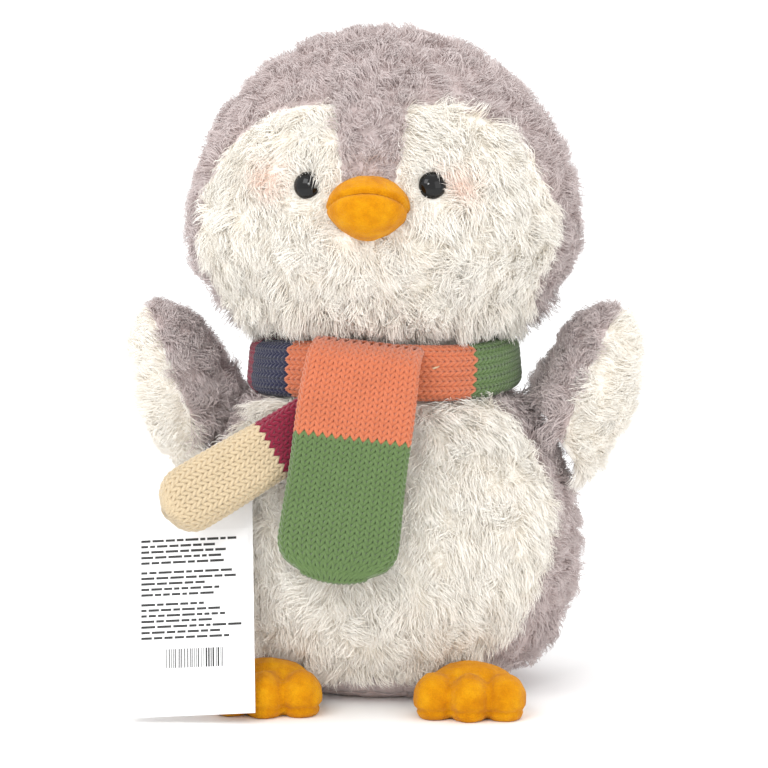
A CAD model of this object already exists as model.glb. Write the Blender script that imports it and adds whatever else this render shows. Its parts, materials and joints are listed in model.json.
"""Looks of the plush penguin: fur made of real strands, knitted yarn, short-pile feet and beak.

In the frame of the CAD model. Lengths are in millimetres, except where Blender takes them.
Every random draw comes from a seeded generator.
"""

import json
import math

import bmesh
import bpy
import numpy as np
from mathutils import Matrix, Vector, kdtree


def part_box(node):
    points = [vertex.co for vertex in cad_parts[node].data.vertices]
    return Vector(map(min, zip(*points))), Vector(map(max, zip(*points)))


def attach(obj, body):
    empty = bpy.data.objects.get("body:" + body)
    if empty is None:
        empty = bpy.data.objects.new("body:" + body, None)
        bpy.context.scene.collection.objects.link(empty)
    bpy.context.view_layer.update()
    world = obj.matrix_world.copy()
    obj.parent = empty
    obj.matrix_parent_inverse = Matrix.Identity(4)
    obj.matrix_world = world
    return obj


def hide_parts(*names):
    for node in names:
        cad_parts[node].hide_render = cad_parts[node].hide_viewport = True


MM = 0.001
SEED = 11

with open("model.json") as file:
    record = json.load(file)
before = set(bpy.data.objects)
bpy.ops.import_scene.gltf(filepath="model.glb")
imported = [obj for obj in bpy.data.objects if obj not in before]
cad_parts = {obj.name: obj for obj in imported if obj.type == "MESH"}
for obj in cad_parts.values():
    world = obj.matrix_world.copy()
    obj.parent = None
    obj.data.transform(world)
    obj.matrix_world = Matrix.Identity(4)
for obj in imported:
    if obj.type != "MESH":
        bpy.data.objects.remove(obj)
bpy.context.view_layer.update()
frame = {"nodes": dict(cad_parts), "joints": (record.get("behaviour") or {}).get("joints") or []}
nodes = frame["nodes"]
joint_at = {j["name"]: np.array(j.get("pos_m", (0, 0, 0))) / MM for j in frame["joints"]}


def size_of(node):
    """A node's lowest and highest corners, in millimetres."""
    low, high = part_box(node)
    return np.array(low) / MM, np.array(high) / MM


# ---- forms, in millimetres

class Egg:
    """Two half ellipsoids that share one equator at height z."""

    def __init__(self, z, wide, deep, rise, drop):
        self.z, self.wide, self.deep, self.rise, self.drop = z, wide, deep, rise, drop

    def tall(self, dz):
        return np.where(dz >= 0, self.rise, self.drop)

    def point(self, d):
        """The surface points that unit directions d of a ball are scaled to."""
        return np.stack([d[:, 0] * self.wide, d[:, 1] * self.deep,
                         self.z + d[:, 2] * self.tall(d[:, 2])], axis=1)

    def sample(self, count, rng):
        """Points spread evenly over the surface."""
        most = max(self.wide, self.deep) * max(self.rise, self.drop, self.wide)
        found = []
        while sum(map(len, found)) < count:
            d = unit(rng.normal(size=(count * 2, 3)))
            growth = stretch(d, self.wide, self.deep, self.tall(d[:, 2]))
            found.append(self.point(d[rng.random(len(d)) < growth / most]))
        return np.concatenate(found)[:count]

    def normal(self, p):
        dz = p[:, 2] - self.z
        n = np.stack([p[:, 0] / self.wide ** 2, p[:, 1] / self.deep ** 2,
                      dz / self.tall(dz) ** 2], axis=1)
        return unit(n)


def unit(v):
    return v / np.maximum(np.linalg.norm(v, axis=-1, keepdims=True), 1e-9)


def stretch(d, x, y, z):
    """How much a ball's surface at directions d grows when it is scaled by x, y and z."""
    return np.sqrt((y * z * d[:, 0]) ** 2 + (x * z * d[:, 1]) ** 2 + (x * y * d[:, 2]) ** 2)


def share(value, at_zero, at_one):
    """0 to 1 as a value goes from one level to another, and flat beyond them."""
    return np.clip((value - at_zero) / (at_one - at_zero), 0, 1)


class Wing:
    """A leaning ellipsoid, cut flat where it is sewn to the torso."""

    def __init__(self, side, centre, halves, lean, root, root_normal):
        self.side, self.centre, self.halves = side, np.array(centre), np.array(halves)
        a = math.radians(side * lean)
        # columns are the wing's own X, Y and Z in the frame
        self.axes = np.array([[math.cos(a), 0, math.sin(a)], [0, 1, 0],
                              [-math.sin(a), 0, math.cos(a)]])
        self.root, self.root_normal = np.array(root), np.array(root_normal)

    def point(self, d):
        return self.centre + (d * self.halves) @ self.axes.T

    def sample(self, count, rng):
        d = unit(rng.normal(size=(count * 3, 3)))
        most = self.halves[1] * self.halves[2]
        return self.point(d[rng.random(len(d)) < stretch(d, *self.halves) / most])[:count]

    def local(self, p):
        return (p - self.centre) @ self.axes

    def normal(self, p):
        return unit((self.local(p) / self.halves ** 2) @ self.axes.T)


head_low, head_high = size_of("head_side_right")
_, crown_high = size_of("crown_gusset")
_, torso_high = size_of("back_panel_right")
HEAD_EQUATOR, HEAD_DROP = 174.0, 44.0
TORSO_EQUATOR, TORSO_RISE, TORSO_DROP = 50.0, 85.0, 62.0
HEAD = Egg(HEAD_EQUATOR, head_high[0], crown_high[1], crown_high[2] - HEAD_EQUATOR, HEAD_DROP)
TORSO = Egg(TORSO_EQUATOR, torso_high[0], torso_high[1], TORSO_RISE, TORSO_DROP)
HEAD_UNDERSIDE = head_low[2]
TORSO_TOP = torso_high[2]

GUSSET_HALF = 16.0
LOBE_X, LOBE_Z, LOBE_R = 20.0, 176.0, 46.0
BLAZE_FOOT_Z, BLAZE_FOOT_HALF, BLAZE_SLOPE = 188.0, 9.0, 0.12
BELLY_X, BELLY_Z, BELLY_R = 9.0, 66.0, 57.0
PILE = 3.2  # how far under the CAD surface the strands are rooted

EYES = [sum(size_of(f"eye_{word}")) / 2 for word in ("left", "right")]
BEAK_LOW = size_of("beak_lower")[0]
BEAK_HIGH = size_of("beak_upper")[1]
BEAK_Z = (BEAK_LOW[2] + BEAK_HIGH[2]) / 2
BEAK_HALF = np.array([BEAK_HIGH[0], BEAK_HIGH[2] - BEAK_Z])
BLUSH_STRENGTH, BLUSH_SPREAD = 0.45, 34
BLUSH = ((-37.0, 196.0), (31.0, 194.5))  # X and Z of each cheek

WING_LEAN = 20
WING_X, WING_Z = 77.0, 112.0
WING_HALVES = (18.0, 25.0, 35.0)
WING_SEAM_TURN, WING_SEAM_SHIFT = -10, 1.5
WING_ROOT_Z, WING_ROOT_GAP = 97.0, 3.0


def make_wing_form(side):
    """One wing, cut by a plane a little outside the torso's skin at its root."""
    rise = WING_ROOT_Z - TORSO.z
    x = TORSO.wide * math.sqrt(1 - (rise / TORSO.rise) ** 2)
    normal = unit(np.array([side * x / TORSO.wide ** 2, 0, rise / TORSO.rise ** 2]))
    root = np.array([side * x, 0, WING_ROOT_Z]) + normal * WING_ROOT_GAP
    return Wing(side, (side * WING_X, 0, WING_Z), WING_HALVES, WING_LEAN, root, normal)


WINGS = {"left": make_wing_form(-1), "right": make_wing_form(1)}


# ---- noise

WAVE_OCTAVES, WAVES_PER_OCTAVE = 3, 4


def waves(p, scale, seed):
    """A smooth random value from about -1 to 1 at each point, made of summed sines."""
    rng = np.random.default_rng(seed)
    total = np.zeros(len(p))
    for octave in range(WAVE_OCTAVES):
        for _ in range(WAVES_PER_OCTAVE):
            direction = unit(rng.normal(size=3))
            phase = rng.uniform(0, 2 * math.pi)
            turns = 2 * math.pi * (1.6 ** octave) / scale * rng.uniform(0.7, 1.3)
            total += np.sin(p @ direction * turns + phase) / (1.5 ** octave)
    return total / WAVES_PER_OCTAVE


def wave_vectors(p, scale, seed):
    return np.stack([waves(p, scale, seed + i) for i in range(3)], axis=1)


# ---- meshes

def new_object(name, data):
    obj = bpy.data.objects.new(name, data)
    bpy.context.scene.collection.objects.link(obj)
    return obj


def face_outward(obj):
    bm = bmesh.new()
    bm.from_mesh(obj.data)
    bmesh.ops.recalc_face_normals(bm, faces=bm.faces)
    bm.to_mesh(obj.data)
    bm.free()


def mesh_object(name, verts, loops, sizes, uv=None, floats=None, smooth=True):
    """A mesh from vertices in millimetres, the faces' vertex indices in one row, and the number
    of corners of each face, or of every face."""
    if isinstance(sizes, int):
        sizes = np.full(len(loops) // sizes, sizes)
    mesh = bpy.data.meshes.new(name)
    mesh.vertices.add(len(verts))
    mesh.vertices.foreach_set("co", (verts * MM).astype(np.float32).ravel())
    mesh.loops.add(len(loops))
    mesh.loops.foreach_set("vertex_index", loops.astype(np.int32))
    starts = np.concatenate([[0], np.cumsum(sizes)[:-1]]).astype(np.int32)
    mesh.polygons.add(len(sizes))
    mesh.polygons.foreach_set("loop_start", starts)
    mesh.polygons.foreach_set("loop_total", sizes.astype(np.int32))
    mesh.polygons.foreach_set("use_smooth", np.full(len(sizes), smooth))
    if uv is not None:
        layer = mesh.uv_layers.new(name="OFBake")
        layer.data.foreach_set("uv", uv.astype(np.float32).ravel())
    for key, values in (floats or {}).items():
        attribute = mesh.attributes.new(key, "FLOAT", "POINT")
        attribute.data.foreach_set("value", values.astype(np.float32).ravel())
    mesh.update(calc_edges=True)
    mesh.validate()
    return new_object(name, mesh)


def tile_uv(tile, tiles, u, v):
    """UVs inside one square tile of a grid, so that each strand or stitch row has its own."""
    side = math.ceil(math.sqrt(tiles))
    margin = 0.08
    col = tile % side
    row = tile // side
    span = 1 - 2 * margin
    return np.stack([(col + margin + span * u) / side, (row + margin + span * v) / side], axis=-1)


def spokes(side, other, count):
    """Unit vectors round each point of a path, turning from side towards other."""
    angle = np.arange(count) * 2 * math.pi / count
    return (side[:, :, None] * np.cos(angle)[None, None, :, None]
            + other[:, :, None] * np.sin(angle)[None, None, :, None])


def strand_mesh(name, paths, radii, floats):
    """Closed three-sided tapering strands along paths (strands, points, 3)."""
    count, points, _ = paths.shape
    rings = points - 1
    tangent = unit(np.gradient(paths, axis=1))
    helper = np.where(np.abs(tangent[..., 2:3]) < 0.9, np.array([0, 0, 1.0]), np.array([1.0, 0, 0]))
    side = unit(np.cross(tangent, helper))
    other = np.cross(tangent, side)
    ring = spokes(side[:, :rings], other[:, :rings], 3)
    corners = paths[:, :rings, None] + ring * radii[:, :rings, None, None]
    verts = np.concatenate([corners.reshape(count, rings * 3, 3), paths[:, -1:]], axis=1)
    per = rings * 3 + 1
    loops = [0, 2, 1]
    uv = [(0, 0), (0.66, 0), (0.33, 0)]
    sizes = [3]
    for r in range(rings - 1):
        for k in range(3):
            a, b = r * 3 + k, r * 3 + (k + 1) % 3
            loops += [a, b, b + 3, a + 3]
            low, high = r / rings, (r + 1) / rings
            uv += [(k / 3, low), ((k + 1) / 3, low), ((k + 1) / 3, high), (k / 3, high)]
            sizes.append(4)
    last = (rings - 1) * 3
    for k in range(3):
        loops += [last + k, last + (k + 1) % 3, per - 1]
        uv += [(k / 3, 1 - 1 / rings), ((k + 1) / 3, 1 - 1 / rings), ((k + 0.5) / 3, 1)]
        sizes.append(3)
    loops, uv, sizes = np.array(loops), np.array(uv), np.array(sizes)
    all_loops = (loops[None] + per * np.arange(count)[:, None]).ravel()
    all_uv = tile_uv(np.arange(count)[:, None], count, uv[None, :, 0], uv[None, :, 1])
    along = np.concatenate([np.repeat(np.arange(rings) / rings, 3), [1.0]])
    values = {"tip": np.tile(along, count)}
    for key, per_strand in floats.items():
        values[key] = np.repeat(per_strand, per)
    return mesh_object(name, verts.reshape(-1, 3), all_loops, np.tile(sizes, count),
                       all_uv.reshape(-1, 2), values, smooth=False)


def flatten(v, n):
    """The part of each vector that lies along the surface with normals n."""
    return v - n * np.sum(v * n, axis=1, keepdims=True)


def grow(p, n, comb, style, seed, press=None, length=None):
    """Paths of strands rooted at p: they gather into tufts that rise, lean and curl."""
    rng = np.random.default_rng(seed)
    count = len(p)
    tufts = max(8, int(count / style["per_tuft"]))
    picks = rng.choice(count, tufts, replace=False)
    tree = kdtree.KDTree(tufts)
    for i, pick in enumerate(picks):
        tree.insert(p[pick], i)
    tree.balance()
    jitter = rng.normal(size=(count, 3)) * style["stray"]
    tuft = np.array([tree.find(q)[1] for q in (p + jitter)])
    turn = wave_vectors(p[picks], style["swirl_scale"], seed + 5) * style["swirl"]
    turn += rng.normal(size=(tufts, 3)) * style["random"]
    tuft_dir = unit(flatten(comb[picks] * style["comb"] + turn, n[picks]))
    tuft_height = style["height"] * rng.uniform(1 - style["uneven"], 1 + style["uneven"], tufts)
    tuft_length = style["reach"] * rng.uniform(0.7, 1.25, tufts)
    tuft_phase = rng.uniform(0, 2 * math.pi, tufts)
    tuft_tone = rng.uniform(0, 1, tufts)
    own_dir = unit(tuft_dir[tuft] + rng.normal(size=(count, 3)) * style["spread"])
    own_dir = flatten(own_dir, n)
    scale = np.ones(count) if length is None else length
    flat = np.ones(count) if press is None else press
    high = tuft_height[tuft] * rng.uniform(0.8, 1.15, count) * flat * scale
    reach = tuft_length[tuft] * rng.uniform(0.8, 1.15, count) * scale
    t = np.linspace(0, 1, style["points"])
    rise = np.sin(np.clip(t * style["rise_turn"], 0, 2.4)) / math.sin(min(style["rise_turn"], 1.57))
    lean = t ** style["lean_power"]

    def arched(root, up, up_size, way, way_size):
        return (root[:, None] + up[:, None] * (up_size[:, None] * rise)[..., None]
                + way[:, None] * (way_size[:, None] * lean)[..., None])

    own = arched(p, n, high, own_dir, reach)
    m, m_dir = n[picks][tuft], tuft_dir[tuft]
    axis = arched(p[picks][tuft], m, tuft_height[tuft] * flat * scale, m_dir,
                  tuft_length[tuft] * scale)
    gather = style["gather"] * t ** style["gather_power"]
    paths = own + (axis - own) * gather[None, :, None]
    across = np.cross(m, m_dir)
    phase = tuft_phase[tuft][:, None] + rng.normal(size=(count, 1)) * style["phase_spread"]
    angle = phase + 2 * math.pi * style["curls"] * t[None]
    size = style["curl"] * t[None] ** 0.7 * scale[:, None]
    paths = paths + across[:, None] * (np.sin(angle) * size)[..., None]
    paths = paths + m[:, None] * ((np.cos(angle) - np.cos(phase)) * size * 0.7
                                  * flat[:, None])[..., None]
    width = style["radius"] * rng.uniform(0.75, 1.25, count)[:, None]
    taper = np.interp(t, [0, 0.5, 1], [0.9, 1.0, 0.25])
    floats = {"tuft_tone": tuft_tone[tuft], "own_tone": rng.random(count)}
    return paths, width * taper[None], floats


WHITE = dict(per_tuft=40, stray=1.5, swirl_scale=24, swirl=0.9, random=0.4, comb=0.8,
             height=4.6, uneven=0.3, reach=8.5, spread=0.45, points=4, rise_turn=1.8,
             lean_power=1.1, gather=0.4, gather_power=1.2, curls=0.5, curl=0.9,
             phase_spread=0.7, radius=0.135)
GREY = dict(per_tuft=26, stray=1.5, swirl_scale=14, swirl=1.2, random=0.8, comb=0.4,
            height=4.5, uneven=0.3, reach=5.0, spread=0.6, points=4, rise_turn=1.9,
            lean_power=1.2, gather=0.42, gather_power=0.9, curls=0.8, curl=1.1,
            phase_spread=0.6, radius=0.155)


def comb_along(p, n, turn=(0.0, 0.0, -1.0)):
    """A direction, downhill unless another is given, laid along the surface."""
    return unit(flatten(np.tile(np.array(turn, dtype=float), (len(p), 1)), n) + 1e-6)


# ---- materials

MAT = {}


class Shader:
    """A Principled material with short ways to add the nodes that this script uses."""

    def __init__(self, name, roughness, **fixed):
        MAT[name] = bpy.data.materials.new(name)
        MAT[name].use_nodes = True
        self.tree = MAT[name].node_tree
        self.bsdf = self.tree.nodes["Principled BSDF"]
        self.bsdf.inputs["Roughness"].default_value = roughness
        for key, value in fixed.items():
            self.bsdf.inputs[key.replace("_", " ")].default_value = value

    def node(self, kind, **settings):
        node = self.tree.nodes.new(kind)
        for key, value in settings.items():
            if key in node.inputs:
                node.inputs[key].default_value = value
            else:
                setattr(node, key, value)
        return node

    def link(self, a, b):
        self.tree.links.new(a, b)

    def noise(self, scale, detail=3.0):
        """Noise over the object's own place in metres: scale is turns per metre."""
        where = self.node("ShaderNodeTexCoord")
        noise_node = self.node("ShaderNodeTexNoise", Scale=scale, Detail=detail, Roughness=0.6)
        self.link(where.outputs["Object"], noise_node.inputs["Vector"])
        return noise_node.outputs["Fac"]

    def value(self, key):
        return self.node("ShaderNodeAttribute", attribute_name=key).outputs["Fac"]

    def ramp(self, factor, *stops):
        ramp = self.node("ShaderNodeValToRGB")
        elements = ramp.color_ramp.elements
        while len(elements) < len(stops):
            elements.new(0.5)
        for element, (place, color) in zip(elements, stops):
            element.position = place
            element.color = (*color, 1)
        self.link(factor, ramp.inputs["Fac"])
        return ramp.outputs["Color"]

    def mix(self, factor, a, b, blend="MIX"):
        mix = self.node("ShaderNodeMix", data_type="RGBA", blend_type=blend)
        for socket, source in ((mix.inputs[0], factor), (mix.inputs[6], a), (mix.inputs[7], b)):
            if hasattr(source, "node"):
                self.link(source, socket)
            else:
                socket.default_value = source if isinstance(source, float) else (*source, 1)
        return mix.outputs[2]

    def product(self, a, b):
        return self.mix(1.0, a, b, "MULTIPLY")

    def color(self, socket):
        self.link(socket, self.bsdf.inputs["Base Color"])

    def bump(self, height, strength, distance):
        bump = self.node("ShaderNodeBump", Strength=strength, Distance=distance)
        self.link(height, bump.inputs["Height"])
        self.link(bump.outputs["Normal"], self.bsdf.inputs["Normal"])


def srgb(text):
    """A linear colour from an sRGB hex string."""
    parts = [int(text[i:i + 2], 16) / 255 for i in (0, 2, 4)]
    return tuple(c / 12.92 if c <= 0.04045 else ((c + 0.055) / 1.055) ** 2.4 for c in parts)


def grey(level):
    return (level, level, level)


def fur_material(name, root, middle, tip, blush=None):
    s = Shader(name, roughness=0.8, Sheen_Weight=0.5, Sheen_Roughness=0.5,
               Specular_IOR_Level=0.3)
    along = s.ramp(s.value("tip"), (0.0, root), (0.45, middle), (1.0, tip))
    tuft = s.ramp(s.value("tuft_tone"), (0.0, grey(0.95)), (1.0, grey(1.0)))
    own = s.ramp(s.value("own_tone"), (0.0, grey(0.96)), (1.0, grey(1.0)))
    color = s.product(s.product(along, tuft), own)
    if blush:
        color = s.mix(s.value("blush"), color, blush)
    s.color(color)


def cloth_material(name, dark, light):
    """The woven backing under the pile."""
    s = Shader(name, roughness=0.95, Sheen_Weight=0.2)
    s.color(s.ramp(s.noise(260), (0.3, dark), (0.7, light)))
    s.bump(s.noise(1500, 2.0), 0.4, 0.0006)


def velvet_material(name, dark, middle, light):
    """Short brushed pile: the nap lies in soft patches, with a fine grain over them."""
    s = Shader(name, roughness=0.85, Sheen_Weight=0.08, Sheen_Roughness=0.4,
               Specular_IOR_Level=0.12)
    nap = s.ramp(s.noise(150, 3.0), (0.32, dark), (0.5, middle), (0.68, light))
    grain = s.ramp(s.noise(2600, 2.0), (0.3, grey(0.82)), (0.7, grey(1.0)))
    s.color(s.product(nap, grain))
    s.bump(s.noise(1500, 3.0), 0.7, 0.0009)


YARN_SHADE, LINING_SHADE = 0.72, 0.45


def shaded(color, share):
    return tuple(c * share for c in color)


def yarn_material(name, color):
    """Spun yarn: the ply and loose fibres show as fine streaks and a matt surface."""
    s = Shader(name, roughness=0.9, Sheen_Weight=0.35, Sheen_Roughness=0.5,
               Specular_IOR_Level=0.15)
    fibre = s.ramp(s.noise(3200, 3.0), (0.3, shaded(color, YARN_SHADE)), (0.7, color))
    patch = s.ramp(s.noise(120, 2.0), (0.3, grey(0.93)), (0.7, grey(1.0)))
    s.color(s.product(fibre, patch))
    s.bump(s.noise(4200, 3.0), 0.5, 0.0004)


def plain_material(name, low, high, scale, roughness, bump=0.0, **fixed):
    s = Shader(name, roughness=roughness, **fixed)
    s.color(s.ramp(s.noise(scale), (0.3, low), (0.7, high)))
    if bump:
        s.bump(s.noise(scale * 6, 2.0), bump, 0.0002)


fur_material("grey_fur", srgb("B9A8A5"), srgb("C9BBB9"), srgb("D7CCCA"))
fur_material("white_fur", srgb("F8F0E1"), srgb("FCF6EC"), srgb("FFFDF7"), blush=srgb("F5BDA2"))
cloth_material("grey_cloth", srgb("C0AFAC"), srgb("CFC1BF"))
cloth_material("white_cloth", srgb("FAF5EB"), srgb("FDFAF4"))
velvet_material("yellow_velvet", srgb("C87E02"), srgb("D68D03"), srgb("E09C0C"))
plain_material("fibre_fill", grey(0.8), grey(0.92), 300, 1.0, 0.5)
plain_material("eye_gloss", grey(0.002), grey(0.004), 40, 0.07, Specular_IOR_Level=0.35)
plain_material("washer_plastic", (0.75, 0.75, 0.72), (0.82, 0.82, 0.8), 90, 0.5)
plain_material("barb_plastic", grey(0.85), grey(0.92), 90, 0.35)
plain_material("tag_card", (0.86, 0.86, 0.87), (0.91, 0.91, 0.92), 60, 0.45, 0.15)
plain_material("tag_label", (0.9, 0.9, 0.91), (0.94, 0.94, 0.95), 60, 0.6, 0.1)
plain_material("tag_ink", grey(0.02), grey(0.05), 900, 0.7)
YARN = {
    "orange": srgb("D97C56"), "green": srgb("68824F"), "cream": srgb("DEC9A6"),
    "maroon": srgb("922440"), "navy": srgb("2B2D4A"),
}
for yarn_name, yarn_color in YARN.items():
    yarn_material(f"yarn_{yarn_name}", yarn_color)
    lining_color = shaded(yarn_color, LINING_SHADE)
    cloth_material(f"lining_{yarn_name}", shaded(lining_color, 0.8), lining_color)


def dress(obj, material, body, replaces=()):
    """Give a piece its material, the record's slot and the body it rides on."""
    obj.data.materials.clear()
    obj.data.materials.append(MAT[material])
    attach(obj, body)
    if replaces:
        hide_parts(*replaces)


def dress_skin(piece, white, body, node):
    """Backing cloth that takes the place of one skin panel."""
    dress(piece, "white_cloth" if white else "grey_cloth",
          body, [node])


def dress_node(node, material):
    """A better material on a CAD node that stays in view."""
    for i in range(max(1, len(nodes[node].material_slots))):
        if not nodes[node].material_slots:
            nodes[node].data.materials.append(MAT[material])
        nodes[node].material_slots[i].material = MAT[material]


# ---- regions of the skins

def ragged(p):
    """Points moved a little, so that a colour change wanders as cut fur does."""
    return p + wave_vectors(p, 9.0, 70) * 0.8


def in_discs(p, x, z, radius):
    """Points on the front half, inside either of two discs at x and -x."""
    near = (np.abs(p[:, 0]) - x) ** 2 + (p[:, 2] - z) ** 2 < radius ** 2
    return near & (p[:, 1] < 0)


def in_face(p):
    half = BLAZE_FOOT_HALF + (p[:, 2] - BLAZE_FOOT_Z) * BLAZE_SLOPE
    blaze = (p[:, 2] > BLAZE_FOOT_Z) & (np.abs(p[:, 0]) < half)
    return in_discs(p, LOBE_X, LOBE_Z, LOBE_R) & ~blaze


def in_belly(p):
    return in_discs(p, BELLY_X, BELLY_Z, BELLY_R)


def head_zone(p):
    """The panel that each head point belongs to."""
    face = in_face(p)
    strip = np.abs(p[:, 0]) < GUSSET_HALF
    names = np.where(p[:, 0] < 0, "head_side_left", "head_side_right").astype(object)
    names[strip] = "crown_gusset"
    names[face & (p[:, 0] < 0)] = "face_panel_left"
    names[face & (p[:, 0] >= 0)] = "face_panel_right"
    return names


def torso_zone(p):
    names = np.where(p[:, 0] < 0, "back_panel_left", "back_panel_right").astype(object)
    belly = in_belly(p)
    names[belly & (p[:, 0] < 0)] = "belly_left"
    names[belly & (p[:, 0] >= 0)] = "belly_right"
    return names


def wing_zone(form, p):
    a = math.radians(WING_SEAM_TURN)
    across = np.array([form.side * math.cos(a), math.sin(a), 0])
    return np.where(form.local(p) @ across > WING_SEAM_SHIFT, "outer", "inner")


# ---- woolly coat under the strands

def ico_directions(level):
    bm = bmesh.new()
    bmesh.ops.create_icosphere(bm, subdivisions=level, radius=1)
    verts = np.array([v.co[:] for v in bm.verts])
    faces = np.array([[v.index for v in f.verts] for f in bm.faces])
    bm.free()
    return unit(verts), faces


def closed_patch(name, verts, faces, thickness):
    """A patch of triangles made into closed cloth by a Solidify, applied."""
    used, index = np.unique(faces, return_inverse=True)
    obj = mesh_object(name, verts[used], index.ravel(), 3)
    solid = obj.modifiers.new("cloth", "SOLIDIFY")
    solid.thickness = thickness * MM
    solid.offset = -1
    return apply_modifiers(obj)


def apply_modifiers(obj):
    shown = obj.evaluated_get(bpy.context.evaluated_depsgraph_get())
    mesh = bpy.data.meshes.new_from_object(shown)
    old = obj.data
    obj.modifiers.clear()
    obj.data = mesh
    bpy.data.meshes.remove(old)
    return obj


CLOTH_RISE, EGG_CLOTH_THICK = 1.2, 3.0  # the rise is above the strands' roots
EGG_LEVEL = 6


def egg_cloth(egg, zones, low, high, body):
    """Woolly patches of an egg form, inset by the pile, one per panel."""
    d, faces = ico_directions(EGG_LEVEL)
    outer = egg.point(d)
    n = egg.normal(outer)
    wool = waves(outer, 24, 31) * 0.4 + waves(outer, 5.0, 36) * 0.45
    inner = outer - n * (PILE - CLOTH_RISE + wool)[:, None]
    inner[:, 2] = np.clip(inner[:, 2], low, high)
    names = zones(outer[faces].mean(axis=1))
    for name in sorted(set(names)):
        piece = closed_patch(f"{name}_cloth", inner, faces[names == name], EGG_CLOTH_THICK)
        dress_skin(piece, name.startswith(("face", "belly")), body, name)


def make_head_cloth():
    egg_cloth(HEAD, head_zone, HEAD_UNDERSIDE + 0.5, 400, "head")


def make_torso_cloth():
    def zones(p):
        names = torso_zone(p)
        names[np.char.startswith(names.astype(str), "belly")] = "belly_panel"
        names[p[:, 2] < 1.0] = "base_panel"
        return names

    egg_cloth(TORSO, zones, 0.2, TORSO_TOP, "torso")


LIMB_PILE, LIMB_CLOTH_RISE, LIMB_CLOTH_THICK = 2.8, 1.0, 1.6


def make_wing_cloth(word, form):
    d, faces = ico_directions(5)
    outer = form.point(d)
    n = form.normal(outer)
    wool = waves(outer, 18, 33) * 0.3 + waves(outer, 4.5, 37) * 0.4
    inner = outer - n * (LIMB_PILE - LIMB_CLOTH_RISE + wool)[:, None]
    depth = (inner - form.root) @ form.root_normal - 1.0
    inner -= np.minimum(depth, 0)[:, None] * form.root_normal
    names = wing_zone(form, outer[faces].mean(axis=1))
    for part in ("outer", "inner"):
        node = f"wing_{part}_panel_{word}"
        piece = closed_patch(f"{node}_cloth", inner, faces[names == part], LIMB_CLOTH_THICK)
        dress_skin(piece, part == "outer", f"wing_{word}", node)


NECK_TOP, NECK_RADIUS = 134.5, 36.5


def make_neck():
    """The neck's own plush, which shows only when the head nods or turns."""
    rings, around = 14, 96
    low = size_of("neck_stuffing")[0][2]
    t = np.linspace(0, 1, rings)
    z = low + (NECK_TOP - low) * t
    radius = NECK_RADIUS - 3.0 * t ** 4
    a = np.linspace(0, 2 * math.pi, around, endpoint=False)
    p = np.stack([np.outer(radius, np.cos(a)), np.outer(radius, np.sin(a)),
                  np.repeat(z[:, None], around, axis=1)], axis=-1).reshape(-1, 3)
    p[:, :2] *= 1 + waves(p, 14, 35)[:, None] * 0.012
    loops, sizes = capped_loops(rings, around)
    piece = mesh_object("neck_plush", p, loops, sizes)
    dress(piece, "white_cloth", "neck", ["neck_stuffing"])


def capped_loops(rings, around):
    """Quads between rings of vertices that each close on themselves, and a face at each end."""
    i = np.arange(rings - 1)[:, None] * around
    j = np.arange(around)[None]
    k = (j + 1) % around
    quads = np.stack([i + j, i + k, i + around + k, i + around + j], axis=-1).reshape(-1)
    caps = [np.arange(around)[::-1], np.arange(around) + (rings - 1) * around]
    sizes = np.concatenate([np.full((rings - 1) * around, 4), [around, around]])
    return np.concatenate([quads] + caps), sizes


# ---- fur

FRONT_TAIL_SPLAY, FRONT_TAIL_SWING = 13.5, 6.5
FRONT_TAIL_TOP = joint_at["front_tail_lift"] + np.array([0, -1.5, 0])
SIDE_TAIL_ROOT = joint_at["side_tail_swing"]
SIDE_TAIL_TIP = np.array([-69.5, -79.5, 76.0])
# the half width and length that each end presses on the pile, and how far the press fades
FRONT_TAIL_PRESS, SIDE_TAIL_PRESS, PRESS_FADE = (21, 76), (9, 30), 5


def under_scarf(p):
    """How far the scarf's ends press the pile down in front: 1 is free."""
    drop = FRONT_TAIL_TOP[2] - p[:, 2]
    middle = FRONT_TAIL_TOP[0] - drop * math.tan(math.radians(FRONT_TAIL_SWING))
    beside = np.abs(p[:, 0] - middle) - FRONT_TAIL_PRESS[0]
    over = share(np.maximum(beside, drop - FRONT_TAIL_PRESS[1]), 0, PRESS_FADE)
    free = np.where(p[:, 1] < 0, 0.6 + 0.4 * over, 1.0)
    along = unit(SIDE_TAIL_TIP - SIDE_TAIL_ROOT)
    flat = np.array([along[0], along[2]]) / math.hypot(along[0], along[2])
    rel = p[:, [0, 2]] - SIDE_TAIL_ROOT[[0, 2]]
    s = rel @ flat
    beside = np.abs(rel[:, 0] * flat[1] - rel[:, 1] * flat[0]) - SIDE_TAIL_PRESS[0]
    over = share(np.maximum(beside, np.maximum(-s, s - SIDE_TAIL_PRESS[1])), 0, PRESS_FADE)
    return np.where(p[:, 1] < 0, np.minimum(free, 0.55 + 0.45 * over), free)


MOST_STRANDS = 12000  # in one piece


def plant(name, p, n, comb, style, seed, white, body, press=None, length=None, blush=None):
    """Grow one region's fur, as one piece or more."""
    paths, radii, floats = grow(p, n, comb, style, seed, press, length)
    floats["blush"] = np.zeros(len(p)) if blush is None else blush
    pieces = math.ceil(len(p) / MOST_STRANDS)
    coat = "white_fur" if white else "grey_fur"
    for i in range(pieces):
        part = slice(i, None, pieces)
        some = {key: values[part] for key, values in floats.items()}
        piece = strand_mesh(f"{name}_{i + 1}", paths[part], radii[part], some)
        dress(piece, coat, body)


QUICK_SHARE = 5


def thin(count):
    return count


def styled(white):
    style = WHITE if white else GREY
    return style
    return dict(style, per_tuft=style["per_tuft"] / QUICK_SHARE, radius=style["radius"] * 2)


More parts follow.
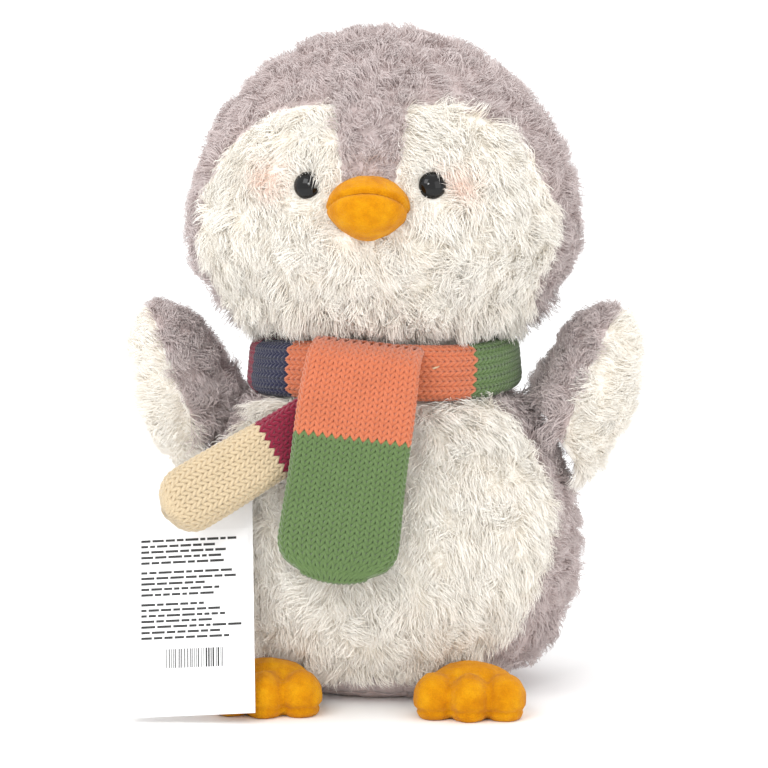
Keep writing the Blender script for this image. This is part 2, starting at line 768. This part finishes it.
def away_from(p, n, centre):
    """Tangents away from a centre seen from the front, and each root's distance from it."""
    rel = p - centre
    rel[:, 1] = 0
    return unit(flatten(rel, n)), np.linalg.norm(rel, axis=1)


def beak_gap(p):
    """Below 1 inside the beak's outline, seen from the front; it narrows downwards."""
    drop = share(BEAK_Z - p[:, 2], 0, BEAK_HALF[1])
    half_width = BEAK_HALF[0] * (1 - 0.28 * drop)
    return np.hypot(p[:, 0] / half_width, (p[:, 2] - BEAK_Z) / BEAK_HALF[1])


HEAD_COUNTS = {"face_panel_left": 14000, "face_panel_right": 14000, "crown_gusset": 11500,
               "head_side_left": 15000, "head_side_right": 15000}
HEAD_POOL, TORSO_POOL, WING_POOL = ((260000, 220000, 60000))
# distances from an eye's middle, and for the beak, parts of its outline's size
EYE_BARE, EYE_COMBED = 3.4, (10.0, 5.5)
BEAK_BARE, BEAK_COMBED = 0.8, (1.45, 0.95)
# where the parting beside the grey strip, and then the fringe, go from none to full
PARTING_Z, PARTING_X = (184, 196), (26, 12)
FRINGE_Z = (153, 144)


def regions(form, pool, names, counts):
    """Each region's number, name, roots and normals."""
    for i, (name, count) in enumerate(counts.items()):
        p = pool[names == name][:thin(count)]
        yield i, name, p, form.normal(p)


def combed(comb, away, near, pull):
    """The comb turned to another way where near is 1."""
    return unit(comb * (1 - near)[:, None] + away * near[:, None] * pull)


def make_head_fur():
    """Fur of the head, combed round the eyes and beak, with a fringe over the scarf."""
    rng = np.random.default_rng(SEED)
    pool = HEAD.sample(HEAD_POOL, rng)
    pool = pool[pool[:, 2] > HEAD_UNDERSIDE + 1]
    names = head_zone(ragged(pool))
    for i, name, p, n in regions(HEAD, pool, names, HEAD_COUNTS):
        white = name.startswith("face")
        front = p[:, 1] < 0
        beak = beak_gap(p)
        eye_gap = np.min([away_from(p, n, eye)[1] for eye in EYES], axis=0)
        keep = ~(front & ((beak < BEAK_BARE) | (eye_gap < EYE_BARE)))
        p, n, beak, front = p[keep], n[keep], beak[keep], front[keep]
        comb = comb_along(p, n)
        if white:
            # beside the grey strip the pile parts outward
            beside = share(p[:, 2], *PARTING_Z) * share(np.abs(p[:, 0]), *PARTING_X)
            outward = comb_along(p, n, (1.0, 0, 0)) * np.sign(p[:, :1])
            comb = unit(comb + outward * beside[:, None] * 2.0)
        else:
            comb = unit(comb * 0.4 + comb_along(p, n, (0, 1.0, 0.1)) * 0.6)
        length = np.ones(len(p))
        for eye in EYES:
            away, gap = away_from(p, n, eye)
            near = np.where(front, share(gap, *EYE_COMBED), 0)
            comb = combed(comb, away, near, 1.2)
            length *= 1 - 0.45 * near
        away, _ = away_from(p, n, np.array([0, 0, BEAK_Z]))
        near = np.where(front, share(beak, *BEAK_COMBED), 0)
        comb = combed(comb, away, near, 1.3)
        length *= 1 - 0.45 * near
        rosy = np.max([np.exp(-((p[:, 0] - x) ** 2 + (p[:, 2] - z) ** 2) / BLUSH_SPREAD)
                       for x, z in BLUSH], axis=0)
        # the lowest fur stands longer, straight out of the skin, and falls over the scarf
        low = share(p[:, 2], *FRINGE_Z)
        plant(f"{name}_fur", p - n * PILE, n, comb, styled(white), SEED + i,
              white, "head", press=1 + 2.2 * low, length=length * (1 - 0.35 * low),
              blush=rosy * BLUSH_STRENGTH * front)


COLLAR = 11.0  # how far above the torso's flat top the egg form still gives fur roots
COLLAR_PRESS = 0.45
TORSO_COUNTS = {"belly_left": 15000, "belly_right": 15000, "back_panel_left": 14000,
                "back_panel_right": 14000}


def make_torso_fur():
    rng = np.random.default_rng(SEED + 20)
    pool = TORSO.sample(TORSO_POOL, rng)
    pool = pool[(pool[:, 2] > 1.5) & (pool[:, 2] < TORSO_TOP + COLLAR)]
    names = torso_zone(ragged(pool))
    for i, name, p, n in regions(TORSO, pool, names, TORSO_COUNTS):
        white = name.startswith("belly")
        press = under_scarf(p)
        comb = comb_along(p, n)
        # roots above the flat top are moved down onto it, with shorter pile under the scarf
        collar = p[:, 2] > TORSO_TOP
        press[collar] *= COLLAR_PRESS
        p[collar, 2] = TORSO_TOP
        # short at the floor, long where it meets the scarf
        length = np.maximum(share(p[:, 2], 1, 13), 0.35) * (1 + 0.5 * share(p[:, 2], 98, 110))
        plant(f"{name}_fur", p - n * PILE, n, comb, styled(white),
              SEED + 30 + i, white, "torso", press=press, length=length)


WING_COUNTS = {"outer": 8000, "inner": 7000}
WING_STYLE = dict(height=3.8, reach=5.5)


def make_wing_fur():
    for word, form in WINGS.items():
        rng = np.random.default_rng(SEED + 40 + form.side)
        pool = form.sample(WING_POOL, rng)
        pool = pool[(pool - form.root) @ form.root_normal > 1.0]
        names = wing_zone(form, ragged(pool))
        for i, part, p, n in regions(form, pool, names, WING_COUNTS):
            white = part == "outer"
            tip = np.tile(form.axes[:, 2], (len(p), 1))
            comb = comb_along(p, n, (0, 0, -0.6)) * 0.6 + tip * 0.7
            # beside the root the pile lies towards the torso and hides the seam
            near_root = share((p - form.root) @ form.root_normal, 9, 4)[:, None]
            comb = comb * (1 - near_root) - form.root_normal * near_root * 1.5
            comb = unit(flatten(comb, n))
            style = dict(styled(white), **WING_STYLE)
            plant(f"wing_{part}_panel_{word}_fur", p - n * LIMB_PILE, n, comb, style,
                  SEED + 50 + i + form.side, white, f"wing_{word}",
                  length=1 + 0.5 * near_root[:, 0])


# ---- velvet: beak and feet

def blob(name, balls, voxel, smooth):
    """Overlapping ellipsoids (centre, halves) merged into one skin by a voxel remesh."""
    d, faces = ico_directions(4)
    verts = np.concatenate([np.array(c) + d * np.array(h) for c, h in balls])
    loops = np.concatenate([faces + i * len(d) for i in range(len(balls))])
    obj = mesh_object(name, verts, loops.ravel(), 3)
    remesh = obj.modifiers.new("merge", "REMESH")
    remesh.mode = "VOXEL"
    remesh.voxel_size = voxel * MM
    soften = obj.modifiers.new("soften", "SMOOTH")
    soften.iterations = smooth
    soften.factor = 0.5
    apply_modifiers(obj)
    obj.data.polygons.foreach_set("use_smooth", np.ones(len(obj.data.polygons), dtype=bool))
    return obj


def vertex_values(obj, key):
    values = np.zeros(len(obj.data.vertices) * 3, dtype=np.float32)
    obj.data.vertices.foreach_get(key, values)
    return values.reshape(-1, 3).astype(float)


def set_vertices(obj, co):
    obj.data.vertices.foreach_set("co", (co * MM).astype(np.float32).ravel())
    obj.data.update()


SOLE_SEAM_Z, SOLE_SEAM_DEPTH = 3.4, 0.9
TOE_HALF, TOE_Z = 9.6, 6.8
TOES = ((-0.62, 2.4), (0.0, 0.0), (0.62, 2.4))  # sideways as a part of the half width, and back


def make_foot(word):
    """A flat-bottomed foot with three toes and a seam round its sole."""
    low, high = size_of(f"foot_upper_{word}")
    half = (high - low) / 2
    mid = (high + low) / 2
    balls = [((mid[0], mid[1] + 4.0, 6.0), (half[0] * 0.88, half[1] - 4.2, high[2] - 6.2))]
    for offset, back in TOES:
        centre = (mid[0] + half[0] * offset, low[1] + 9.8 + back, TOE_Z)
        balls.append((centre, (half[0] * 0.38, TOE_HALF, TOE_HALF)))
    obj = blob(f"foot_{word}_plush", balls, 0.9, 9)
    co, n = vertex_values(obj, "co") / MM, vertex_values(obj, "normal")
    groove = np.exp(-((co[:, 2] - SOLE_SEAM_Z) / 0.9) ** 2) * SOLE_SEAM_DEPTH
    co -= n * groove[:, None] * np.array([1, 1, 0.2])
    co += n * waves(co, 9, 61)[:, None] * 0.3
    co[:, 2] = np.maximum(co[:, 2], 0.15)
    set_vertices(obj, co)
    dress(obj, "yellow_velvet", f"foot_{word}",
          [f"foot_upper_{word}", f"foot_sole_{word}"])


BEAK_Y, BEAK_HALF_DEPTH = -65.0, 16.0
BEAK_SEAM_FOOT = np.array([0.0, BEAK_Y, 182.0])
BEAK_SEAM_SLOPE = math.radians(30)


def make_beak():
    """Upper and lower beak, each full and rounded where the seam joins them."""
    d, faces = ico_directions(5)
    halves = np.array([BEAK_HIGH[0], BEAK_HALF_DEPTH, BEAK_HALF[1]])
    centre = np.array([0, BEAK_Y, BEAK_Z])
    base = d * halves
    # the lower panel narrows to a soft point
    down = np.maximum(-d[:, 2], 0)
    base[:, 0] *= 1 - 0.30 * down ** 1.6
    whole = centre + base
    up = np.array([0, math.sin(BEAK_SEAM_SLOPE), math.cos(BEAK_SEAM_SLOPE)])
    for part, sign in (("upper", 1), ("lower", -1)):
        gap = (whole - BEAK_SEAM_FOOT) @ up * sign
        tuck = np.exp(-(np.maximum(gap, 0) / 1.0) ** 2) * 0.11
        p = centre + (whole - centre) * (1 - tuck)[:, None]
        gap = (p - BEAK_SEAM_FOOT) @ up * sign
        p -= np.minimum(gap - 0.05, 0)[:, None] * up * sign
        p += unit(p - centre) * (waves(p, 8, 63)[:, None] * 0.25)
        obj = mesh_object(f"beak_{part}_plush", p, faces.ravel(), 3)
        dress(obj, "yellow_velvet", "head", [f"beak_{part}"])


# ---- knitting

WALE, COURSE, YARN_R, YARN_SIDES = 3.5, 2.3, 0.78, 5
LOOP_SWING, LOOP_RISE, LOOP_DEPTH = 1.9, 2.15, 0.5
TAIL_DETAIL, BAND_DETAIL = (12, 48), (10, 32)  # points along each loop, and round the lining


def knit_courses(name, place, wales, courses, points):
    """Rows of knitted loops round a tube. place(u, v, depth) gives the point at turn u (0 to 1)
    round the tube and v courses along it, depth outwards."""
    sides = YARN_SIDES
    t = np.arange(wales * points) * (2 * math.pi / points)
    u = (t + LOOP_SWING * np.sin(2 * t)) / (2 * math.pi * wales)
    rise = np.cos(t) * LOOP_RISE / COURSE
    depth = -np.cos(2 * t) * LOOP_DEPTH
    path = np.stack([place(u, course + rise, depth) for course in courses])
    ahead, behind = np.roll(path, -1, axis=1), np.roll(path, 1, axis=1)
    tangent = unit(ahead - behind)
    outward = np.stack([place(u, c + rise, depth + 1.0) for c in courses]) - path
    side = unit(np.cross(tangent, outward))
    outward = np.cross(side, tangent)
    count, length = path.shape[:2]
    verts = (path[:, :, None] + spokes(side, outward, sides) * YARN_R).reshape(-1, 3)
    i = np.arange(length)[:, None] * sides
    j = np.arange(sides)[None]
    next_i = np.roll(i, -1, axis=0)
    k = (j + 1) % sides
    quads = np.stack([i + j, next_i + j, next_i + k, i + k], axis=-1).reshape(-1, 4)
    loops = (quads[None] + np.arange(count)[:, None, None] * length * sides).reshape(-1)
    along = np.repeat(np.arange(length), sides) / length
    round_ = np.tile(np.arange(sides), length) / sides
    cell_u = np.stack([along, along + 1 / length, along + 1 / length, along], axis=-1)
    cell_v = np.stack([round_, round_, round_ + 1 / sides, round_ + 1 / sides], axis=-1)
    uv = strip_uv(count, cell_u.ravel(), cell_v.ravel())
    return mesh_object(name, verts, loops, 4, uv)


def strip_uv(count, u, v):
    """Each knitted row takes one band of the map."""
    row = np.arange(count)[:, None]
    return np.stack([np.broadcast_to(0.01 + 0.98 * u, (count, len(u))),
                     (row + 0.1 + 0.8 * v[None]) / count], axis=-1).reshape(-1, 2)


def stadium(u, half_width, half_thick):
    """A point and outward normal round a flattened tube, by turn u from its left edge.

    The second half of the way round is the first half turned by 180 degrees.
    """
    straight = 2 * np.maximum(half_width - half_thick, 0.01)
    half_way = straight + math.pi * half_thick
    s = np.mod(u, 1) * 2 * half_way
    sign = np.where(s < half_way, 1, -1)
    s = np.where(s < half_way, s, s - half_way)
    x0 = half_width - half_thick
    turn = (s - straight) / half_thick
    flat = s < straight
    x = np.where(flat, s - x0, x0 + np.sin(turn) * half_thick)
    y = np.where(flat, -half_thick, -np.cos(turn) * half_thick)
    nx = np.where(flat, 0, np.sin(turn))
    ny = np.where(flat, -1, -np.cos(turn))
    return x * sign, y * sign, nx * sign, ny * sign


class Tail:
    """A flattened knitted tube that hangs from a point: width along x, length down -z."""

    def __init__(self, top, axes, length, half_width, half_thick, bend, sag):
        self.top, self.axes, self.length = top, axes, length
        self.half_width, self.half_thick = half_width, half_thick
        self.bend, self.sag = bend, sag

    def near_end(self, drop):
        return share(drop, self.length - TAIL_CORNER, self.length)

    def half_sizes(self, drop):
        shrink = np.sqrt(1 - np.minimum(self.near_end(drop), 0.995) ** 2)
        wide = self.half_width(drop) - TAIL_CORNER * (1 - shrink)
        thick = np.clip(self.half_thick(drop) * (0.35 + 0.65 * shrink), 1.0, None)
        return wide, np.minimum(thick, wide * 0.95)

    def place(self, u, v, depth, inset=0.0):
        drop = np.clip(v * COURSE, -8, self.length)
        beyond = v * COURSE - drop
        wide, thick = self.half_sizes(drop)
        x, y, nx, ny = stadium(u, wide - inset, np.maximum(thick - inset, 0.3))
        x, y = x + nx * depth, y + ny * depth
        x, y = x + 0 * drop, y + self.bend(x, drop)
        # the closed end is lower in its middle than at its corners
        sag = self.sag * np.clip(1 - (x / wide) ** 2, 0, 1) * self.near_end(drop) ** 2
        local = np.stack(np.broadcast_arrays(x, y, -drop - beyond - sag), axis=-1)
        return self.top + local @ self.axes.T


def lining(name, tube, start, end, around):
    """The closed dark inside of a knitted tube, seen only between the stitches."""
    rows = np.linspace(start, end, max(6, int((end - start) * 1.5)))
    u = np.arange(around) / around
    p = np.stack([tube.place(u, r, 0.0, inset=0.55) for r in rows])
    loops, sizes = capped_loops(len(rows), around)
    obj = mesh_object(name, p.reshape(-1, 3), loops, sizes)
    face_outward(obj)
    return obj


def knit_length(color, tube, wales, first, last, detail, part, body):
    """One colour's rows of yarn and the lining inside them, in place of one node."""
    node = f"{part}_{color}"
    points, around = detail
    yarn = knit_courses(f"{node}_yarn", tube.place, wales, np.arange(first, last), points)
    dress(yarn, f"yarn_{color}", body, [node])
    inside = lining(f"{node}_lining", tube, first - 0.4, last - 0.6, around)
    dress(inside, f"lining_{color}", body)


def knit_tail(tail, body, upper, lower, first, change_at):
    """A tail that changes from its upper to its lower colour at a length from its top."""
    perimeter = 4 * tail.half_width(tail.length * 0.4) + 2 * math.pi * TAIL_EDGE_R
    wales = round(perimeter / WALE)
    change = round(change_at / COURSE)
    end = int(tail.length / COURSE) + 1
    knit_length(upper, tail, wales, first, change, TAIL_DETAIL, body, body)
    knit_length(lower, tail, wales, change, end, TAIL_DETAIL, body, body)


def rotation(axis, degrees):
    return np.array(Matrix.Rotation(math.radians(degrees), 3, axis))


FRONT_TAIL_LENGTH, FRONT_TAIL_ORANGE = 81.0, 34.5
SIDE_TAIL_LENGTH, SIDE_TAIL_MAROON = 63.5, 20.0
TAIL_CORNER, TAIL_EDGE_R = 10.0, 2


def make_front_tail():
    turn = rotation("X", -FRONT_TAIL_SPLAY) @ rotation("Y", FRONT_TAIL_SWING)

    def half_width(drop):
        return 20.0 + 0.6 * np.tanh((drop - 18) / 12) + 0.3 * np.sin(drop / 9)

    def half_thick(drop):
        return 3.3 + 0 * drop

    def bend(x, drop):
        over_band = np.where(drop < 7, (7 - drop) ** 2 * 0.12, 0)
        ripple = 0.9 * np.sin(x / 9 + drop / 17) * share(drop, 0, 20)
        clear_of_side_tail = 0.8 * share(drop, 8, 20)
        return over_band + ripple - clear_of_side_tail

    tail = Tail(FRONT_TAIL_TOP, turn, FRONT_TAIL_LENGTH, half_width, half_thick, bend, sag=2.2)
    knit_tail(tail, "front_tail", "orange", "green", -1, FRONT_TAIL_ORANGE)


def make_side_tail():
    z_axis = -unit(SIDE_TAIL_TIP - SIDE_TAIL_ROOT)
    back = np.array([0, 1.0, 0])
    y_axis = unit(back - z_axis * (back @ z_axis))

    def half_width(drop):
        return 10.3 + 0.9 * share(drop, 14, 44)

    def half_thick(drop):
        return 3.2 + 2.6 * share(drop, 10, 32)

    def bend(x, drop):
        return 0.6 * np.sin(x / 7 + drop / 13) * share(drop, 0, 30)

    axes = np.stack([np.cross(y_axis, z_axis), y_axis, z_axis], axis=1)
    tail = Tail(SIDE_TAIL_ROOT, axes, SIDE_TAIL_LENGTH, half_width, half_thick, bend, sag=0.0)
    knit_tail(tail, "side_tail", "maroon", "cream", 0, SIDE_TAIL_MAROON)


BAND_R, BAND_HALF_THICK, BAND_WALES = 47.0, 4.3, 13
# colour and the angles in degrees, from +X towards the back, where it starts and ends
BAND_PARTS = (("orange", 232, 316), ("green", 316, 378), ("cream", 18, 158),
              ("maroon", 158, 201), ("navy", 201, 232))


class Band:
    """The scarf round the neck: a flattened tube standing on edge along a ring."""

    def __init__(self):
        low, high = size_of("scarf_band_cream")
        self.z = (low[2] + high[2]) / 2
        self.half = (high[2] - low[2]) / 2 + 0.2
        self.step = COURSE / BAND_R

    def place(self, u, v, depth, inset=0.0):
        angle = v * self.step
        y, x, ny, nx = stadium(u, self.half - inset, BAND_HALF_THICK - inset)
        roll = 0.12 * np.sin(angle * 2 + 0.7)
        x, y = x + nx * depth, y + ny * depth
        radius = BAND_R + x * np.cos(roll) - y * np.sin(roll) + 0.5 * np.sin(angle * 5)
        z = self.z + y * np.cos(roll) + x * np.sin(roll) + 0.7 * np.sin(angle * 3 + 1.0)
        return np.stack(np.broadcast_arrays(radius * np.cos(angle), radius * np.sin(angle), z),
                        axis=-1)


def make_band():
    band = Band()
    for color, start, end in BAND_PARTS:
        first = math.ceil(math.radians(start) / band.step)
        last = math.ceil(math.radians(end) / band.step)
        knit_length(color, band, BAND_WALES, first, last, BAND_DETAIL, "scarf_band", "torso")
    tack_stitch(band)


TACK_ANGLE = 296


def tack_stitch(band):
    """A short cream stitch that holds the band, in front to the right of the tail."""
    angle = math.radians(TACK_ANGLE)
    points = []
    for t in np.linspace(-1, 1, 7):
        radius = BAND_R + 5.9 - 1.2 * t * t
        a = angle + t * 0.035
        points.append((radius * math.cos(a), radius * math.sin(a), band.z + 2 + 0.6 * t))
    curve = bpy.data.curves.new("scarf_tack_stitch", "CURVE")
    curve.dimensions = "3D"
    curve.bevel_depth = 0.35 * MM
    curve.bevel_resolution = 3
    curve.use_fill_caps = True
    spline = curve.splines.new("POLY")
    spline.points.add(len(points) - 1)
    for point, place in zip(spline.points, points):
        point.co = (*(c * MM for c in place), 1)
    obj = new_object("scarf_tack_stitch", curve)
    dress(obj, "yarn_cream", "torso")


# ---- tag

TAG_SPLAY, TAG_SWING = 22, -3.5
TAG_HOLE_DROP, TAG_THICK, STICKER_THICK = 5.0, 0.5, 0.15
STICKER_DROP, STICKER_W = 18.0, 42.0
PRINT_BLOCKS = (5, 5, 7)  # lines of print in each paragraph
DASH_HEIGHT, DASH_GAP, LINE_STEP, BLOCK_GAP, BAR_HEIGHT = 0.9, 0.7, 2.05, 1.6, 7.0


def tag_boxes(name, boxes, front, material):
    """Thin printed bars on the tag: (x, drop, width, height) from its top middle."""
    turn = rotation("X", -TAG_SPLAY) @ rotation("Y", TAG_SWING)
    top = joint_at["tag_swing"] + turn @ np.array([0, 0, TAG_HOLE_DROP])
    verts, loops = [], []
    for x, drop, width, height in boxes:
        base = len(verts)
        for y in (front, front - 0.03):
            for dx, dz in ((0, 0), (width, 0), (width, -height), (0, -height)):
                verts.append(top + turn @ np.array([x + dx, y, -drop + dz]))
        for face in ((0, 1, 2, 3), (7, 6, 5, 4), (0, 4, 5, 1), (1, 5, 6, 2), (2, 6, 7, 3),
                     (3, 7, 4, 0)):
            loops += [base + i for i in face]
    obj = mesh_object(name, np.array(verts), np.array(loops), 4, smooth=False)
    face_outward(obj)
    dress(obj, material, "tag")


def make_tag():
    """Blank card and sticker with dark dashes and bars where print would be."""
    dress_node("hang_tag", "tag_card")
    dress_node("tag_sticker", "tag_label")
    dress_node("tag_fastener", "barb_plastic")
    rng = np.random.default_rng(SEED + 99)
    lines = []
    left = -STICKER_W / 2 + 2.5
    drop = STICKER_DROP + 3.0
    for block in PRINT_BLOCKS:
        for _ in range(block):
            x = left
            limit = left + rng.uniform(22, 33)
            while x < limit:
                width = rng.uniform(1.6, 5.2)
                lines.append((x, drop, width, DASH_HEIGHT))
                x += width + DASH_GAP
            drop += LINE_STEP
        drop += BLOCK_GAP
    sticker_front = -TAG_THICK / 2 - STICKER_THICK
    tag_boxes("tag_print_lines", lines, sticker_front, "tag_ink")
    bars = []
    x = -9.5
    while x < 11:
        width = rng.choice([0.25, 0.4, 0.6])
        bars.append((x, drop + 1.0, width, BAR_HEIGHT))
        x += width + rng.choice([0.3, 0.5, 0.7])
    tag_boxes("tag_print_bars", bars, sticker_front, "tag_ink")


# ---- stuffing

FILLINGS = {
    "head_stuffing": "head", "body_stuffing": "torso", "beak_stuffing": "head",
    "wing_stuffing_left": "wing_left", "wing_stuffing_right": "wing_right",
    "foot_stuffing_left": "foot_left", "foot_stuffing_right": "foot_right",
}


FOOT_FILL, OTHER_FILL = 0.7, 0.93  # the fill's size as a part of its CAD solid


def make_filling(node, body, shrink):
    """Clumpy fibre fill in place of the plain solid, a little smaller than it."""
    source = nodes[node]
    mesh = source.data.copy()
    mesh.transform(source.matrix_world)
    mesh.materials.clear()
    obj = new_object(f"{node}_fibre", mesh)
    co = vertex_values(obj, "co") / MM
    middle = (co.min(axis=0) + co.max(axis=0)) / 2
    clumps = waves(co, 14, 71)[:, None] * 0.015
    set_vertices(obj, middle + (co - middle) * (shrink + clumps))
    dress(obj, "fibre_fill", body, [node])


# ---- build

make_head_cloth()
make_torso_cloth()
make_neck()
for wing_word, wing_form in WINGS.items():
    make_wing_cloth(wing_word, wing_form)
make_head_fur()
make_torso_fur()
make_wing_fur()
make_beak()
for side_word in ("left", "right"):
    make_foot(side_word)
    dress_node(f"eye_{side_word}", "eye_gloss")
    dress_node(f"eye_washer_{side_word}", "washer_plastic")
make_front_tail()
make_side_tail()
make_band()
make_tag()
for node_name, node_body in FILLINGS.items():
    fill_size = FOOT_FILL if node_name.startswith("foot") else OTHER_FILL
    make_filling(node_name, node_body, fill_size)


# ---- floor, lights and camera

def make_floor():
    mesh = bpy.data.meshes.new("floor")
    bm = bmesh.new()
    bmesh.ops.create_grid(bm, x_segments=1, y_segments=1, size=3.0)
    bm.to_mesh(mesh)
    bm.free()
    floor = new_object("floor", mesh)
    s = Shader("floor_pale", roughness=0.9)
    s.color(s.ramp(s.noise(3), (0.3, grey(0.93)), (0.7, grey(0.95))))
    floor.data.materials.append(MAT["floor_pale"])


def area_light(name, place, target, size, power):
    data = bpy.data.lights.new(name, "AREA")
    data.size = size
    data.energy = power
    light = new_object(name, data)
    light.location = place
    light.rotation_euler = (Vector(target) - Vector(place)).to_track_quat("-Z", "Y").to_euler()


def make_lights():
    middle = (0, 0, 0.13)
    area_light("key", (-0.55, -0.9, 0.95), middle, 0.6, 4)
    area_light("fill", (0.9, -0.7, 0.45), middle, 0.8, 2)
    area_light("top", (0.1, 0.2, 1.2), middle, 0.9, 2)
    area_light("sparkle", (-0.08, -0.62, 0.42), (0, -0.07, 0.19), 0.1, 0.6)
    world = bpy.data.worlds.new("studio")
    world.use_nodes = True
    background = world.node_tree.nodes["Background"]
    background.inputs["Color"].default_value = (1, 1, 1, 1)
    background.inputs["Strength"].default_value = 1.2
    bpy.context.scene.world = world


CAMERA_DISTANCE, CAMERA_LENS = 1.0, 121.9
CAMERA_AZIMUTH, CAMERA_ELEVATION = 5.0, 5.0
CAMERA_TARGET = Vector((0.0, 0.0, 0.1149))


def make_camera():
    a, e = math.radians(CAMERA_AZIMUTH), math.radians(CAMERA_ELEVATION)
    way = Vector((math.sin(a) * math.cos(e), -math.cos(a) * math.cos(e), math.sin(e)))
    data = bpy.data.cameras.new("camera")
    data.lens = CAMERA_LENS
    camera = new_object("camera", data)
    camera.location = CAMERA_TARGET + way * CAMERA_DISTANCE
    camera.rotation_euler = (-way).to_track_quat("-Z", "Y").to_euler()
    bpy.context.scene.camera = camera


make_floor()
make_lights()
make_camera()
bpy.context.scene.view_settings.view_transform = "Standard"
